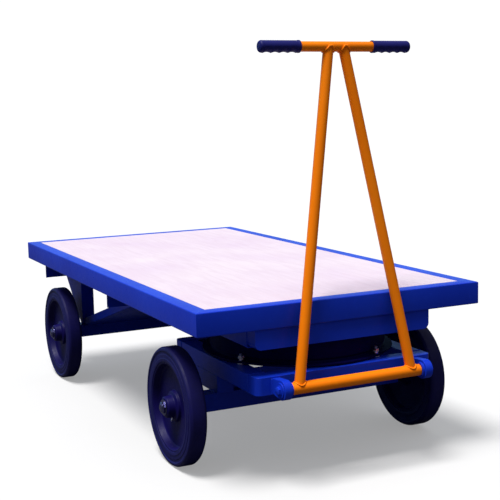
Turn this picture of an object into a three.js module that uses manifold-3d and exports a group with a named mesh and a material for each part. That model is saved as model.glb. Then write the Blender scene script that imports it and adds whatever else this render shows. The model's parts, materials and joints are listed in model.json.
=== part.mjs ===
// Platform trolley: a plywood deck in a steel frame, on four wheels, with a
// turntable-steered front bogie and an A-shaped drawbar. Millimetres, +Z up,
// floor at z = 0. The handle end is -Y, and X runs across the deck.

import * as THREE from 'three';
import { mergeVertices } from 'three/addons/utils/BufferGeometryUtils.js';
import Module from 'manifold-3d';

const wasm = await Module();
wasm.setup();

// ---------------------------------------------------------------- dimensions

const GAP = 0.3;                    // clearance between separate pieces

const deckLength = 2000;
const deckWidth = 1040;
const deckTop = 575;
const railDepth = 75;
const bandWidth = 50;               // blue border round the plywood
const railSheet = 3;
const plywoodThickness = 14.7;
const ledgeWidth = 30;              // ledge that carries the plywood's edge

const wheelRadius = 200;
const wheelWidth = 60;
const wheelOuterFace = 490;         // distance from the centre line
const rimRadius = 150;
const hubRadius = 36;
const hubBore = 22;
const dishHubRadius = 52;
const axleRadius = 12.5;
const wheelSegments = 36;

const axleBeam = 60;
const axleBeamHalf = 400;
const axleBeamWall = 5;
const rearBeamBottom = 175;
const axleShoulderRadius = 20;
const frontAxleY = -660;            // the turntable's centre too
const rearAxleY = 685;

const boxTubeWall = 3;
const crossDepth = 70;
const crossWidth = 60;
const crossThickness = 5;
const middleCrossY = 0;
const middleCrossHalf = 480;
const rearCrossY = 850;
const rearCrossHalf = 488;
const bearerWidth = 60;

const boxHalf = 322;                // turntable box under the deck
const boxFront = -992;
const boxRear = -328;
const boxDepth = 65;
const memberWidth = 60;

const bogieHalf = 325;
const bogieFront = -1000;
const bogieRear = -330;
const bogieTop = 350;
const bogieDepth = 58;
const cornerRadius = 20;
const axleBracketFront = -700;
const axleBracketRear = -505;

const ringFlangeRadius = 330;
const ringFlangeBottom = 355;
const ringFlangeThickness = 6;
const racewayRadius = 286;          // circle of ball centres
const racewayTop = 400;
const ballRadius = 8.5;
const ballCount = 10;
const upperRingRadius = 304;
const upperRingLip = 372;
const studCircle = 318;
const studStartDegrees = 27;

const pivotY = -1058;
const pivotZ = 319;
const pivotTubeRadius = 19;
const pivotTubeHalf = 237;
const pivotBoltRadius = 8;
const lugOuterFace = 271;
const lugThickness = 26;
const lugRadius = 31;
const lugBossRadius = 24;
const lugBossHeight = 4;

const barY = -951;
const barZ = 1361;
const barRadius = 16;
const barHalf = 262;
const legRadius = 16.85;
const legFootX = 206.5;
const legHeadX = 26.6;
const tubeWall = 3;

const gripRadius = 20;
const gripLength = 140;
const gripEnd = 270;
const gripGrooves = 4;
const gripGrooveDepth = 2.4;

const postOuter = 376;              // rear bracket
const postWidth = 55;
const postFrontY = 655;
const postBackY = 675;
const gussetThickness = 6;
const gussetBackY = 895;
const braceSlope = 0.3;
const braceWidth = 40;
const braceHeight = 34;
const braceInset = 4;               // from the bracket's outer face
const braceFootZ = 223;
const panelThickness = 5;

// Derived sizes
const halfLength = deckLength / 2;
const halfWidth = deckWidth / 2;
const railBottom = deckTop - railDepth;
const plywoodBottom = deckTop - plywoodThickness;
const ledgeTop = plywoodBottom - GAP;
const crossTop = railBottom - GAP;
const boxBottom = railBottom - boxDepth;
const bogieBottom = bogieTop - bogieDepth;
const beamTop = wheelRadius + axleBeam / 2;
const frontBeamBottom = wheelRadius - axleBeam / 2;
const wheelCentreX = wheelOuterFace - wheelWidth / 2;

// The frame's origin is under the middle of the whole trolley, drawbar lugs included.
const frontTip = pivotY - lugRadius;
const originShiftY = -(frontTip + halfLength) / 2;

// ----------------------------------------------------------------- materials

const colours = {
  blue: [0x1226b4, 0.35, 0.2],
  orange: [0xf08a10, 0.35, 0.2],
  black: [0x16151c, 0.5, 0.4],
  ply: [0xf2e6de, 0.7, 0.0],
  rubber: [0x17161f, 0.85, 0.0],
  centre: [0x1a1930, 0.55, 0.1],
  steel: [0xb9b9c2, 0.3, 0.9],
  grip: [0x0f0f1c, 0.6, 0.0],
};

function material(kind) {
  const [color, roughness, metalness] = colours[kind];
  return new THREE.MeshStandardMaterial({ color, roughness, metalness });
}

// ------------------------------------------------------------ shape building

function shapeOf(points, hole) {
  const shape = new THREE.Shape(points.map(([u, v]) => new THREE.Vector2(u, v)));
  if (hole) {
    shape.holes.push(new THREE.Path(hole.map(([u, v]) => new THREE.Vector2(u, v))));
  }
  return shape;
}

function extrude(shape, depth, curveSegments = 8) {
  return new THREE.ExtrudeGeometry(shape, { depth, bevelEnabled: false, curveSegments });
}

// Outline in (x, y), raised from z0 to z1
function prismZ(shape, z0, z1, curveSegments) {
  return extrude(shape, z1 - z0, curveSegments).translate(0, 0, z0);
}

// Outline in (x, z), running from y0 to y1
function prismY(shape, y0, y1, curveSegments) {
  return extrude(shape, y1 - y0, curveSegments).rotateX(Math.PI / 2).translate(0, y1, 0);
}

// Outline in (y, z), running from x0 to x1
function prismX(shape, x0, x1, curveSegments) {
  const turn = new THREE.Matrix4().set(0, 0, 1, 0, 1, 0, 0, 0, 0, 1, 0, 0, 0, 0, 0, 1);
  return extrude(shape, x1 - x0, curveSegments).applyMatrix4(turn).translate(x0, 0, 0);
}

function rectangle(u0, u1, v0, v1) {
  return [[u0, v0], [u1, v0], [u1, v1], [u0, v1]];
}

function boxTube(u0, u1, v0, v1, wall = boxTubeWall) {
  return shapeOf(rectangle(u0, u1, v0, v1), rectangle(u0 + wall, u1 - wall, v0 + wall, v1 - wall));
}

function block(x0, x1, y0, y1, z0, z1) {
  const box = new THREE.BoxGeometry(x1 - x0, y1 - y0, z1 - z0);
  return box.translate((x0 + x1) / 2, (y0 + y1) / 2, (z0 + z1) / 2);
}

// A body turned about Y from a closed (radius, height) profile
function turned(profile, segments) {
  const closed = [...profile, profile[0]];
  return new THREE.LatheGeometry(closed.map(([r, h]) => new THREE.Vector2(r, h)), segments);
}

function cylinderX(radius, x0, x1, y, z, segments = 24) {
  const cylinder = new THREE.CylinderGeometry(radius, radius, x1 - x0, segments);
  return cylinder.rotateZ(Math.PI / 2).translate((x0 + x1) / 2, y, z);
}

function cylinderZ(radius, z0, z1, x, y, segments = 16) {
  const cylinder = new THREE.CylinderGeometry(radius, radius, z1 - z0, segments);
  return cylinder.rotateX(Math.PI / 2).translate(x, y, (z0 + z1) / 2);
}

function solid(geometry) {
  const bare = geometry.clone();
  bare.deleteAttribute('normal');
  bare.deleteAttribute('uv');
  const welded = mergeVertices(bare, 1e-4);
  const mesh = new wasm.Mesh({
    numProp: 3,
    vertProperties: new Float32Array(welded.attributes.position.array),
    triVerts: new Uint32Array(welded.index.array),
  });
  return new wasm.Manifold(mesh);
}

function geometryOf(manifold) {
  const mesh = manifold.getMesh();
  const geometry = new THREE.BufferGeometry();
  geometry.setAttribute('position', new THREE.BufferAttribute(new Float32Array(mesh.vertProperties), 3));
  geometry.setIndex(new THREE.BufferAttribute(new Uint32Array(mesh.triVerts), 1));
  geometry.computeVertexNormals();
  return geometry;
}

function joined(first, ...others) {
  return geometryOf(others.reduce((body, other) => body.add(solid(other)), solid(first)));
}

function cut(first, ...tools) {
  return geometryOf(tools.reduce((body, tool) => body.subtract(solid(tool)), solid(first)));
}

// -------------------------------------------------------------------- output

const trolley = new THREE.Group();
trolley.position.y = originShiftY;

function add(name, geometry, kind, parent = trolley) {
  const mesh = new THREE.Mesh(geometry, material(kind));
  mesh.name = name;
  parent.add(mesh);
  return mesh;
}

const sides = [['left', -1], ['right', 1]];

// ---------------------------------------------------------------------- deck

// A rail's folded section: distance inward from the outer face, and height
function railSection() {
  const lip = bandWidth - railSheet;
  const reach = bandWidth + ledgeWidth;
  const ledgeBottom = ledgeTop - railSheet;
  return [
    [0, railBottom], [bandWidth, railBottom], [bandWidth, railBottom + railSheet],
    [railSheet, railBottom + railSheet], [railSheet, deckTop - railSheet],
    [lip, deckTop - railSheet], [lip, ledgeBottom], [reach, ledgeBottom],
    [reach, ledgeTop], [bandWidth, ledgeTop], [bandWidth, deckTop], [0, deckTop],
  ];
}

// Cuts both ends of a rail at 45 degrees, so that it meets its neighbours
function mitre(geometry, along, across, halfAlong, halfAcross) {
  const position = geometry.attributes.position;
  for (let i = 0; i < position.count; i += 1) {
    const point = new THREE.Vector3().fromBufferAttribute(position, i);
    const inward = halfAcross - Math.abs(point[across]);
    point[along] = Math.sign(point[along]) * (halfAlong - inward - GAP / 2);
    position.setXYZ(i, point.x, point.y, point.z);
  }
  return geometry;
}

// A cross member is an angle: an upright web in front and a flange under the deck
function crossMember(y, half) {
  const front = y - crossWidth / 2;
  const back = y + crossWidth / 2;
  const inner = front + crossThickness;
  const low = crossTop - crossDepth;
  const under = crossTop - crossThickness;
  const section = shapeOf([
    [front, low], [inner, low], [inner, under], [back, under], [back, crossTop], [front, crossTop],
  ]);
  return prismX(section, -half, half);
}

function addDeck() {
  for (const [side, sign] of sides) {
    const section = railSection().map(([inward, z]) => [sign * (halfWidth - inward), z]);
    const rail = prismY(shapeOf(section), -halfLength, halfLength);
    add(`deck_rail_${side}`, mitre(rail, 'y', 'x', halfLength, halfWidth), 'blue');
  }
  for (const [end, sign] of [['front', -1], ['rear', 1]]) {
    const section = railSection().map(([inward, z]) => [sign * (halfLength - inward), z]);
    const rail = prismX(shapeOf(section), -halfWidth, halfWidth);
    add(`deck_rail_${end}`, mitre(rail, 'x', 'y', halfWidth, halfLength), 'blue');
  }
  const plyX = halfWidth - bandWidth - GAP;
  const plyY = halfLength - bandWidth - GAP;
  add('plywood_deck', block(-plyX, plyX, -plyY, plyY, plywoodBottom, deckTop), 'ply');

  const bearerHalf = halfWidth - bandWidth - ledgeWidth - GAP;
  const bearerYs = [['front', boxRear - memberWidth / 2], ['rear', (postFrontY + postBackY) / 2]];
  for (const [place, y] of bearerYs) {
    const section = boxTube(y - bearerWidth / 2, y + bearerWidth / 2, railBottom, ledgeTop);
    add(`deck_bearer_${place}`, prismX(section, -bearerHalf, bearerHalf), 'blue');
  }
  add('middle_cross_member', crossMember(middleCrossY, middleCrossHalf), 'blue');
  add('rear_cross_member', crossMember(rearCrossY, rearCrossHalf), 'blue');
}

// ------------------------------------------------------------- turntable box

// The front member is a pressed tray: rounded below, open towards the rear
function boxFrontMember() {
  const outline = (inset) => {
    const x = boxHalf - inset;
    const low = boxBottom + inset;
    const high = crossTop - inset;
    const r = cornerRadius - inset;
    const shape = new THREE.Shape();
    shape.moveTo(x, high);
    shape.lineTo(-x, high);
    shape.lineTo(-x, low + r);
    shape.absarc(-x + r, low + r, r, Math.PI, 1.5 * Math.PI, false);
    shape.lineTo(x - r, low);
    shape.absarc(x - r, low + r, r, 1.5 * Math.PI, 2 * Math.PI, false);
    return shape;
  };
  const body = prismY(outline(0), boxFront, boxFront + memberWidth, 5);
  const pocket = prismY(outline(boxTubeWall), boxFront + boxTubeWall, boxFront + 2 * memberWidth, 5);
  return cut(body, pocket);
}

function addTurntableBox() {
  add('turntable_box_front', boxFrontMember(), 'blue');
  const sideStart = boxFront + memberWidth + GAP;
  const rearStart = boxRear - memberWidth;
  for (const [side, sign] of sides) {
    const inner = sign * (boxHalf - memberWidth);
    const outer = sign * boxHalf;
    const section = boxTube(Math.min(inner, outer), Math.max(inner, outer), boxBottom, crossTop);
    add(`turntable_box_${side}`, prismY(section, sideStart, rearStart - GAP), 'blue');
  }
  const section = boxTube(rearStart, boxRear, boxBottom, crossTop);
  add('turntable_box_rear', prismX(section, -boxHalf, boxHalf), 'blue');
}

// ----------------------------------------------------------------- turntable

function atTurntable(geometry) {
  return geometry.rotateX(Math.PI / 2).translate(0, frontAxleY, 0);
}

function studPlaces() {
  const places = [];
  for (let i = 0; i < 4; i += 1) {
    const angle = THREE.MathUtils.degToRad(studStartDegrees + 90 * i);
    places.push([studCircle * Math.cos(angle), frontAxleY + studCircle * Math.sin(angle)]);
  }
  return places;
}

function addTurntable() {
  const flangeTop = ringFlangeBottom + ringFlangeThickness;
  const wallHalf = 8;
  const inner = racewayRadius - wallHalf;
  const outer = racewayRadius + wallHalf;

  const upper = turned([
    [racewayRadius - 20, racewayTop + 18], [upperRingRadius - 5, racewayTop + 18],
    [upperRingRadius - 5, upperRingLip], [upperRingRadius, upperRingLip],
    [upperRingRadius, boxBottom - GAP], [racewayRadius - 20, boxBottom - GAP],
  ], 40);
  add('turntable_upper_ring', atTurntable(upper), 'black');

  const lower = turned([
    [inner, ringFlangeBottom], [ringFlangeRadius, ringFlangeBottom],
    [ringFlangeRadius, flangeTop], [outer + 6, flangeTop],
    [outer, flangeTop + 8], [outer, racewayTop], [inner, racewayTop],
  ], 40);
  const holes = studPlaces().map(([x, y]) => {
    return cylinderZ(6 + GAP, ringFlangeBottom - 5, flangeTop + 2, x, y, 12);
  });
  add('turntable_lower_ring', cut(atTurntable(lower), ...holes), 'black');

  const ballZ = racewayTop + GAP + ballRadius;
  const cage = turned([
    [racewayRadius - 3, ballZ - 3], [racewayRadius + 3, ballZ - 3],
    [racewayRadius + 3, ballZ + 3], [racewayRadius - 3, ballZ + 3],
  ], 40);
  const balls = [];
  for (let i = 0; i < ballCount; i += 1) {
    const angle = (2 * Math.PI * (i + 0.5)) / ballCount;
    const ball = new THREE.SphereGeometry(ballRadius, 8, 5).rotateX(Math.PI / 2);
    const x = racewayRadius * Math.cos(angle);
    balls.push(ball.translate(x, frontAxleY + racewayRadius * Math.sin(angle), ballZ));
  }
  add('turntable_ball_race', joined(atTurntable(cage), ...balls), 'steel');

  // Stud, spacer, sleeve and nut that hold the lower ring to the bogie frame
  studPlaces().forEach(([x, y], index) => {
    const spacer = cylinderZ(14, bogieTop + GAP, ringFlangeBottom - GAP, x, y);
    const stud = cylinderZ(6, bogieTop + GAP, flangeTop + 26, x, y, 12);
    const sleeve = cylinderZ(9, flangeTop + GAP, flangeTop + 11, x, y);
    const nut = cylinderZ(11, flangeTop + 10, flangeTop + 19, x, y, 6);
    add(`turntable_stud_${index + 1}`, joined(stud, spacer, sleeve, nut), 'steel');
  });
}

// --------------------------------------------------------------------- bogie

// End members are pressed channels with rounded outer corners, open inwards
function bogieEndMember(faceY, inward) {
  const outline = (inset) => {
    const x = bogieHalf - inset;
    const r = cornerRadius - inset;
    const face = faceY + inward * inset;
    const back = faceY + inward * (memberWidth + (inset > 0 ? memberWidth : 0));
    const shape = new THREE.Shape();
    const quarter = inward > 0 ? 1.5 * Math.PI : 0.5 * Math.PI;
    const left = Math.PI;
    shape.moveTo(-x, back);
    shape.lineTo(-x, face + inward * r);
    shape.absarc(-x + r, face + inward * r, r, left, quarter, inward < 0);
    shape.lineTo(x - r, face);
    shape.absarc(x - r, face + inward * r, r, quarter, inward > 0 ? 2 * Math.PI : 0, inward < 0);
    shape.lineTo(x, back);
    return shape;
  };
  const body = prismZ(outline(0), bogieBottom, bogieTop, 5);
  const pocket = prismZ(outline(boxTubeWall), bogieBottom + boxTubeWall, bogieTop - boxTubeWall, 5);
  return cut(body, pocket);
}

function addBogieFrame() {
  add('bogie_frame_front', bogieEndMember(bogieFront, 1), 'blue');
  add('bogie_frame_rear', bogieEndMember(bogieRear, -1), 'blue');
  const start = bogieFront + memberWidth + GAP;
  const end = bogieRear - memberWidth - GAP;
  for (const [side, sign] of sides) {
    const inner = sign * (bogieHalf - memberWidth);
    const outer = sign * bogieHalf;
    const low = Math.min(inner, outer);
    const high = Math.max(inner, outer);
    add(`bogie_frame_${side}`, prismY(boxTube(low, high, bogieBottom, bogieTop), start, end), 'blue');
    const bracket = boxTube(low, high, axleBracketFront, axleBracketRear);
    add(`axle_bracket_${side}`, prismZ(bracket, beamTop + GAP, bogieBottom - GAP), 'blue');
  }
  const panelHalf = bogieHalf - memberWidth - GAP;
  const panelBack = frontAxleY + panelThickness;
  const panel = block(-panelHalf, panelHalf, frontAxleY, panelBack, beamTop + GAP, bogieBottom - GAP);
  add('front_axle_panel', panel, 'blue');
}

// --------------------------------------------------------------------- axles

// A pressed channel, open below, with a round bar through it whose ends carry the wheels
function axle(y, bottom) {
  const half = axleBeam / 2;
  const inside = half - axleBeamWall;
  const shell = block(-axleBeamHalf, axleBeamHalf, y - half, y + half, bottom, beamTop);
  const pocketEnd = axleBeamHalf - axleBeamWall;
  const pocketTop = beamTop - axleBeamWall;
  const pocket = block(-pocketEnd, pocketEnd, y - inside, y + inside, bottom - half, pocketTop);
  const channel = cut(shell, pocket);
  const shoulderEnd = wheelCentreX - wheelWidth / 2 - 9;
  const stubEnd = wheelOuterFace + 16;
  const bar = cylinderX(axleShoulderRadius, -shoulderEnd, shoulderEnd, y, wheelRadius);
  const stub = cylinderX(axleRadius, -stubEnd, stubEnd, y, wheelRadius, 20);
  return joined(channel, bar, stub);
}

// -------------------------------------------------------------- rear support

// A flat post with a spreading gusset plate on each side
function rearBracket(sign) {
  const x0 = Math.min(sign * postOuter, sign * (postOuter - postWidth));
  const x1 = x0 + postWidth;
  const foot = beamTop + GAP;
  const post = prismZ(boxTube(x0, x1, postFrontY, postBackY), foot, railBottom - GAP);
  const head = crossTop - crossDepth - GAP;
  const gusset = shapeOf([[postFrontY, foot], [postBackY, foot], [gussetBackY, head], [postFrontY, head]]);
  const plates = [prismX(gusset, x0, x0 + gussetThickness), prismX(gusset, x1 - gussetThickness, x1)];
  return joined(post, ...plates);
}

// Height of the brace's lower edge at a given y
function braceLower(y) {
  return braceFootZ + braceSlope * (postFrontY - y);
}

// Outline in (y, z) of a strip that follows the brace, from one height above its lower edge to another
function braceStrip(foot, head, low, high) {
  return shapeOf([
    [foot, braceLower(foot) + low], [foot, braceLower(foot) + high],
    [head, braceLower(head) + high], [head, braceLower(head) + low],
  ]);
}

// Braces run from the posts to the back of the middle cross member's web
const braceFootY = postFrontY - GAP;
const braceHeadY = middleCrossY - crossWidth / 2 + crossThickness + GAP;

function rearBrace(sign) {
  const outer = sign * (postOuter - braceInset);
  const x0 = Math.min(outer, outer - sign * braceWidth);
  const body = prismX(braceStrip(braceFootY, braceHeadY, 0, braceHeight), x0, x0 + braceWidth);
  const hollow = braceStrip(braceFootY + 10, braceHeadY - 10, tubeWall, braceHeight - tubeWall);
  return cut(body, prismX(hollow, x0 + tubeWall, x0 + braceWidth - tubeWall));
}

function bracePanel() {
  const half = postOuter - braceInset - braceWidth - GAP;
  return prismX(braceStrip(braceFootY, braceHeadY, 0, panelThickness), -half, half);
}

function addRearSupport() {
  for (const [side, sign] of sides) {
    add(`rear_bracket_${side}`, rearBracket(sign), 'blue');
    add(`rear_brace_${side}`, rearBrace(sign), 'blue');
  }
  add('rear_brace_panel', bracePanel(), 'blue');
  add('rear_axle', axle(rearAxleY, rearBeamBottom), 'blue');
}

// -------------------------------------------------------------------- wheels

// Profiles are (radius, distance outward from the wheel's middle plane)
const tyreProfile = [
  [rimRadius, -27], [185, -30], [194, -27], [wheelRadius, -18], [wheelRadius, 18],
  [194, 27], [187, 30], [184, 27.5], [164, 27.5], [161, 30], [rimRadius, 29],
];

const centreProfile = [
  [hubBore, -38], [hubRadius, -38], [dishHubRadius, -6], [140, -4], [144, -26],
  [rimRadius - GAP, -26], [rimRadius - GAP, 27], [144, 27], [138, 3],
  [dishHubRadius, 1], [dishHubRadius, 12], [hubRadius, 16], [hubRadius, 40], [hubBore, 42],
];

function addWheel(place, side, sign, y) {
  const wheel = new THREE.Group();
  wheel.position.set(sign * wheelCentreX, y, wheelRadius);
  wheel.rotation.z = -sign * Math.PI / 2;
  trolley.add(wheel);
  const name = `wheel_${place}_${side}`;
  add(`${name}_tyre`, turned(tyreProfile, wheelSegments), 'rubber', wheel);
  add(`${name}_centre`, turned(centreProfile, wheelSegments), 'centre', wheel);

  const cageInner = axleRadius + GAP;
  const cageOuter = hubBore - GAP;
  const cage = turned([[cageInner, -37], [cageOuter, -37], [cageOuter, 41], [cageInner, 41]], 20);
  add(`${name}_bearing`, cage, 'steel', wheel);

  const nut = turned([
    [axleRadius + GAP, 42.5], [25, 42.5], [25, 47], [19, 54], [0, 56], [0, 46.5], [axleRadius + GAP, 46.5],
  ], 16);
  add(`${name}_cap_nut`, nut, 'steel', wheel);
}

function addWheels() {
  for (const [place, y] of [['front', frontAxleY], ['rear', rearAxleY]]) {
    for (const [side, sign] of sides) {
      addWheel(place, side, sign, y);
    }
  }
}

// ------------------------------------------------------------------- drawbar

// A plate ear with a bored boss on each face
function lug(sign) {
  const shape = new THREE.Shape();
  shape.moveTo(bogieFront - GAP, bogieBottom + 5);
  shape.lineTo(bogieFront - GAP, bogieTop - 5);
  shape.lineTo(pivotY, pivotZ + lugRadius);
  shape.absarc(pivotY, pivotZ, lugRadius, 0.5 * Math.PI, 1.5 * Math.PI, false);
  const outer = sign * lugOuterFace;
  const inner = sign * (lugOuterFace - lugThickness);
  const plate = prismX(shape, Math.min(outer, inner), Math.max(outer, inner), 12);
  const bossOut = sign * (lugOuterFace + lugBossHeight);
  const bossIn = sign * (pivotTubeHalf + GAP);
  const x0 = Math.min(bossOut, bossIn);
  const x1 = Math.max(bossOut, bossIn);
  const boss = cylinderX(lugBossRadius, x0, x1, pivotY, pivotZ);
  const bore = cylinderX(pivotBoltRadius + GAP, x0 - 5, x1 + 5, pivotY, pivotZ, 20);
  return cut(joined(plate, boss), bore);
}

function pivotBolt(sign) {
  const seat = lugOuterFace + lugBossHeight;
  const headFace = sign * (seat + GAP);
  const headEnd = sign * (seat + 10);
  const tip = sign * (pivotTubeHalf - 35);
  const shank = cylinderX(pivotBoltRadius, Math.min(headEnd, tip), Math.max(headEnd, tip), pivotY, pivotZ, 20);
  const head = cylinderX(14, Math.min(headFace, headEnd), Math.max(headFace, headEnd), pivotY, pivotZ, 6);
  return joined(shank, head);
}

// The pivot tube has a thick bush in each end, which turns on the pivot bolt
function pivotTube() {
  const bore = pivotTubeRadius - 3.5;
  const bush = pivotBoltRadius + GAP;
  const bushStart = pivotTubeHalf - 40;
  const tube = turned([
    [bush, -pivotTubeHalf], [pivotTubeRadius, -pivotTubeHalf], [pivotTubeRadius, pivotTubeHalf],
    [bush, pivotTubeHalf], [bush, bushStart], [bore, bushStart], [bore, -bushStart], [bush, -bushStart],
  ], 24);
  return tube.rotateZ(Math.PI / 2).translate(0, pivotY, pivotZ);
}

function leg(sign) {
  const foot = new THREE.Vector3(sign * legFootX, pivotY, pivotZ);
  const head = new THREE.Vector3(sign * legHeadX, barY, barZ);
  const run = head.clone().sub(foot);
  const length = run.length();
  const inner = legRadius - tubeWall;
  const tube = turned([[inner, 0], [legRadius, 0], [legRadius, length], [inner, length]], 24);
  const turn = new THREE.Quaternion().setFromUnitVectors(new THREE.Vector3(0, 1, 0), run.normalize());
  tube.applyQuaternion(turn).translate(foot.x, foot.y, foot.z);
  const around = 60;
  const x0 = Math.min(foot.x, head.x) - around;
  const x1 = Math.max(foot.x, head.x) + around;
  const footCope = cylinderX(pivotTubeRadius + GAP, x0, x1, pivotY, pivotZ, 32);
  const headCope = cylinderX(barRadius + GAP, x0, x1, barY, barZ, 32);
  return cut(tube, footCope, headCope);
}

function topBar() {
  const inner = barRadius - tubeWall;
  const bar = turned([[inner, -barHalf], [barRadius, -barHalf], [barRadius, barHalf], [inner, barHalf]], 24);
  return bar.rotateZ(Math.PI / 2).translate(0, barY, barZ);
}

// A moulded sleeve with a domed, closed end and finger grooves underneath
function grip(sign) {
  const steps = 12;
  const bore = barRadius + GAP;
  const mouth = gripEnd - gripLength;
  const bodyEnd = gripEnd - 6;
  const outside = [];
  for (let i = 0; i <= steps; i += 1) {
    outside.push([gripRadius, mouth + (i * (bodyEnd - mouth)) / steps]);
  }
  const cap = [[gripRadius - 5, gripEnd - 1], [0, gripEnd], [0, barHalf + GAP], [bore, barHalf + GAP]];
  const sleeve = turned([[bore, mouth], ...outside, ...cap], 16);
  const position = sleeve.attributes.position;
  const pitch = (bodyEnd - mouth) / gripGrooves;
  for (let i = 0; i < position.count; i += 1) {
    const point = new THREE.Vector3().fromBufferAttribute(position, i);
    const radius = Math.hypot(point.x, point.z);
    if (radius > gripRadius - 1) {
      const below = Math.max(0, -point.z / radius);
      const wave = 0.5 - 0.5 * Math.cos((2 * Math.PI * (point.y - mouth)) / pitch);
      const scale = 1 - (gripGrooveDepth * below * wave) / gripRadius;
      position.setXYZ(i, point.x * scale, point.y, point.z * scale);
    }
  }
  return sleeve.rotateZ((-sign * Math.PI) / 2).translate(0, barY, barZ);
}

function addDrawbar() {
  for (const [side, sign] of sides) {
    add(`drawbar_lug_${side}`, lug(sign), 'blue');
    add(`drawbar_pivot_bolt_${side}`, pivotBolt(sign), 'blue');
    add(`drawbar_leg_${side}`, leg(sign), 'orange');
    add(`grip_${side}`, grip(sign), 'grip');
  }
  add('drawbar_pivot_tube', pivotTube(), 'orange');
  add('drawbar_top_bar', topBar(), 'orange');
}

// ------------------------------------------------------------------ assembly

addDeck();
addTurntableBox();
addTurntable();
addBogieFrame();
add('front_axle', axle(frontAxleY, frontBeamBottom), 'blue');
addRearSupport();
addWheels();
addDrawbar();

export default trolley;
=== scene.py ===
"""Looks for the platform trolley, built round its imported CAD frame. Metres, +Z up, floor at z = 0."""

import json
import math
import random

import bmesh
import bpy
from mathutils import Matrix, Vector, noise


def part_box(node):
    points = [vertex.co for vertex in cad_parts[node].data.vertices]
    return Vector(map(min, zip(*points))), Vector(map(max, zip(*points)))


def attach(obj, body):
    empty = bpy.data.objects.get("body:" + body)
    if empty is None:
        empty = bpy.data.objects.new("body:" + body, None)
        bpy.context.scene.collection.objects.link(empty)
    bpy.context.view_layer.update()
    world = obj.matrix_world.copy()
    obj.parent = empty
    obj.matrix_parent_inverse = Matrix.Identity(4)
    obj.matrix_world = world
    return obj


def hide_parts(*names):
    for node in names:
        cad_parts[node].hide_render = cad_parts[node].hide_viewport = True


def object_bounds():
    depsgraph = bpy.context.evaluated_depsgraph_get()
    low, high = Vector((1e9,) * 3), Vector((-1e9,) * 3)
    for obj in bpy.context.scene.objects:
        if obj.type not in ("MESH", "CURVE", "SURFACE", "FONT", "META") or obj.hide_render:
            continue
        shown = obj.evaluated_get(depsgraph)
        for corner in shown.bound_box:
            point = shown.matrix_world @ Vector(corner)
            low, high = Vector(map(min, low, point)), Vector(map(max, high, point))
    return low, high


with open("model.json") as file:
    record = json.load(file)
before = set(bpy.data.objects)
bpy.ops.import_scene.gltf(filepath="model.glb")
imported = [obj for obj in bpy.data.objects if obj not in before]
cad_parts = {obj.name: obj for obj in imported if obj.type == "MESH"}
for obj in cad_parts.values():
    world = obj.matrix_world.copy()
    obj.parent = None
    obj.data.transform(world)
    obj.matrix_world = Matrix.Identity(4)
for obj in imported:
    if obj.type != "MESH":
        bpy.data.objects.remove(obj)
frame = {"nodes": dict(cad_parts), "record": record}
cad_low, cad_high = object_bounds()
scene = bpy.context.scene

MM = 0.001
GAP = 0.3 * MM                        # clearance that the frame leaves between pieces
SIDES = (("left", -1), ("right", 1))
ENDS = (("front", -1), ("rear", 1))
ACROSS = Vector((1, 0, 0))
UP = Vector((0, 0, 1))


def middle(node):
    low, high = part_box(node)
    return (low + high) / 2


def corners(node):
    """The six limits of a CAD node's box: x0, x1, y0, y1, z0, z1."""
    low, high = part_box(node)
    return low.x, high.x, low.y, high.y, low.z, high.z


deck_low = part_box("plywood_deck")[0]
deck_centre = middle("plywood_deck")


# ------------------------------------------------------------------ materials


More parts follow.
